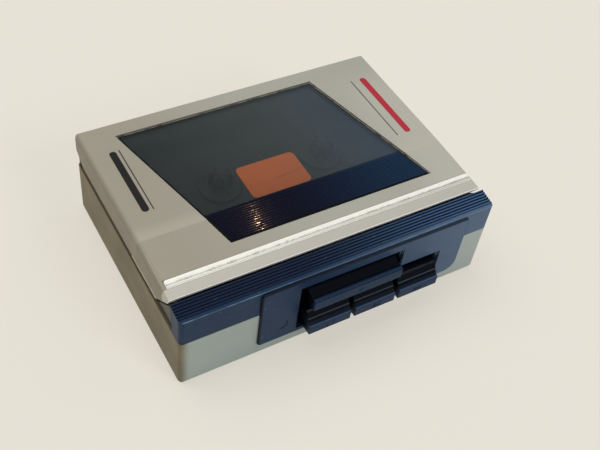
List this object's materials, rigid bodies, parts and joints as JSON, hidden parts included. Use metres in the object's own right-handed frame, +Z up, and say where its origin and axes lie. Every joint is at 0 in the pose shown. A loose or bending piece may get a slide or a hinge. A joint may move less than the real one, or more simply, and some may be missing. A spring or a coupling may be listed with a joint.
{
  "type": "cassette player",
  "caption": "Pocket tape player with a hinged lid over the cassette well, a ribbed front rail, piano keys on the front edge and a belt drive inside.",
  "frame": {"origin": "the centre of the base, on the flat face that the player rests on", "axes": "+X to the right along the key side, +Y from the keys towards the lid's hinge, +Z up through the lid"},
  "size_m": [0.1236, 0.0972, 0.0353],
  "materials": {
    "case_plastic": "fine-grained light grey-green moulded plastic",
    "silver_paint": "satin silver-beige paint on moulded plastic",
    "navy_plastic": "satin dark navy moulded plastic",
    "smoked_acrylic": "clear smoked acrylic",
    "bright_trim": "bright plating, worn in small specks",
    "steel": "plain stamped steel",
    "brass": "turned brass",
    "black_plastic": "matt black moulded plastic",
    "white_plastic": "natural acetal",
    "orange_label": "printed label, orange",
    "rubber": "matt black rubber",
    "board": "bare brown laminate"
  },
  "bodies": {
    "case": {"rear_case": "case_plastic", "battery_spring_plate": "steel", "battery_spring": "steel", "battery_plate": "steel", "case_screw_1": "steel", "case_screw_2": "steel", "case_screw_3": "steel", "case_screw_4": "steel", "front_rail": "navy_plastic", "key_panel": "navy_plastic", "deck_plate": "black_plastic", "deck_label": "orange_label", "well_surround": "case_plastic", "lid_clip": "steel", "capstan_bearing": "brass", "mechanism_plate": "steel", "motor": "steel", "drive_belt": "rubber", "pinch_pivot": "steel", "guide_pin_left": "steel", "guide_pin_right": "steel", "circuit_board": "board", "board_screw": "steel", "amplifier_chip": "black_plastic", "capacitor_left": "black_plastic", "capacitor_right": "black_plastic", "headphone_socket": "black_plastic", "power_socket": "black_plastic", "volume_control": "steel"},
    "lid": {"lid_frame": "silver_paint", "lid_window": "smoked_acrylic", "trim_strip": "bright_trim", "hinge_pin_left": "steel", "hinge_pin_right": "steel", "cassette_spring_left": "steel", "cassette_spring_right": "steel"},
    "battery_door": {"battery_door": "case_plastic"},
    "play_key": {"play_key": "navy_plastic"},
    "stop_key": {"stop_key": "navy_plastic"},
    "rewind_key": {"rewind_key": "navy_plastic"},
    "fast_forward_key": {"fast_forward_key": "navy_plastic"},
    "key_latch": {"key_latch": "steel"},
    "head": {"head_plate": "steel", "head_screw_left": "brass", "head_screw_right": "brass", "tape_head": "bright_trim"},
    "pinch_arm": {"pinch_arm": "steel"},
    "pinch_roller": {"pinch_roller": "rubber"},
    "flywheel": {"flywheel": "brass", "capstan_shaft": "steel", "capstan_pinion": "white_plastic"},
    "idler": {"idler_gear": "white_plastic"},
    "take_up": {"take_up_spindle": "black_plastic", "take_up_gear": "white_plastic"},
    "supply": {"supply_spindle": "black_plastic"},
    "motor_pulley": {"motor_pulley": "brass"},
    "volume_wheel": {"volume_wheel": "black_plastic"}
  },
  "joints": [
    {"name": "lid_hinge", "type": "hinge", "parent": "case", "child": "lid", "pos_m": [0, 0.0432, 0.0293], "axis": [-1, 0, 0], "range_deg": [0, 95]},
    {"name": "battery_door_slide", "type": "slide", "parent": "case", "child": "battery_door", "axis": [0, 1, 0], "range_m": [0, 0.02]},
    {"name": "play_key_travel", "type": "slide", "parent": "case", "child": "play_key", "axis": [0, 1, 0], "range_m": [0, 0.0035], "stiffness_N_per_m": 600},
    {"name": "stop_key_travel", "type": "slide", "parent": "case", "child": "stop_key", "axis": [0, 1, 0], "range_m": [0, 0.0035], "stiffness_N_per_m": 600},
    {"name": "rewind_key_travel", "type": "slide", "parent": "case", "child": "rewind_key", "axis": [0, 1, 0], "range_m": [0, 0.0035], "stiffness_N_per_m": 600},
    {"name": "fast_forward_key_travel", "type": "slide", "parent": "case", "child": "fast_forward_key", "axis": [0, 1, 0], "range_m": [0, 0.0035], "stiffness_N_per_m": 600},
    {"name": "key_latch_travel", "type": "slide", "parent": "case", "child": "key_latch", "axis": [1, 0, 0], "range_m": [0, 0.0015], "stiffness_N_per_m": 200},
    {"name": "head_travel", "type": "slide", "parent": "case", "child": "head", "axis": [0, 1, 0], "range_m": [0, 0.0035]},
    {"name": "pinch_arm_swing", "type": "hinge", "parent": "case", "child": "pinch_arm", "pos_m": [0.045, -0.0295, 0.023], "axis": [0, 0, -1], "range_deg": [0, 11.5]},
    {"name": "pinch_roller_spin", "type": "hinge", "parent": "pinch_arm", "child": "pinch_roller", "pos_m": [0.0296, -0.0254, 0.027], "axis": [0, 0, 1], "continuous": true},
    {"name": "flywheel_spin", "type": "hinge", "parent": "case", "child": "flywheel", "pos_m": [0.0301, -0.0168, 0.0127], "axis": [0, 0, 1], "continuous": true},
    {"name": "idler_spin", "type": "hinge", "parent": "case", "child": "idler", "pos_m": [0.02916, -0.00183, 0.016], "axis": [0, 0, 1], "continuous": true},
    {"name": "take_up_spin", "type": "hinge", "parent": "case", "child": "take_up", "pos_m": [0.02335, 0.012, 0.02], "axis": [0, 0, 1], "continuous": true},
    {"name": "supply_spin", "type": "hinge", "parent": "case", "child": "supply", "pos_m": [-0.01915, 0.012, 0.02], "axis": [0, 0, 1], "continuous": true},
    {"name": "motor_spin", "type": "hinge", "parent": "case", "child": "motor_pulley", "pos_m": [-0.037, -0.0168, 0.0127], "axis": [0, 0, 1], "continuous": true},
    {"name": "volume_turn", "type": "hinge", "parent": "case", "child": "volume_wheel", "pos_m": [0.0536, -0.014, 0.0145], "axis": [0, 0, 1], "range_deg": [0, 270]}
  ],
  "couplings": [
    {"joint": "head_travel", "follows": "play_key_travel", "ratio": 1},
    {"joint": "pinch_arm_swing", "follows": "play_key_travel", "rad_per_m": 55},
    {"joint": "idler_spin", "follows": "flywheel_spin", "ratio": -0.25},
    {"joint": "take_up_spin", "follows": "flywheel_spin", "ratio": 0.097222},
    {"joint": "motor_spin", "follows": "flywheel_spin", "ratio": 3.43}
  ]
}
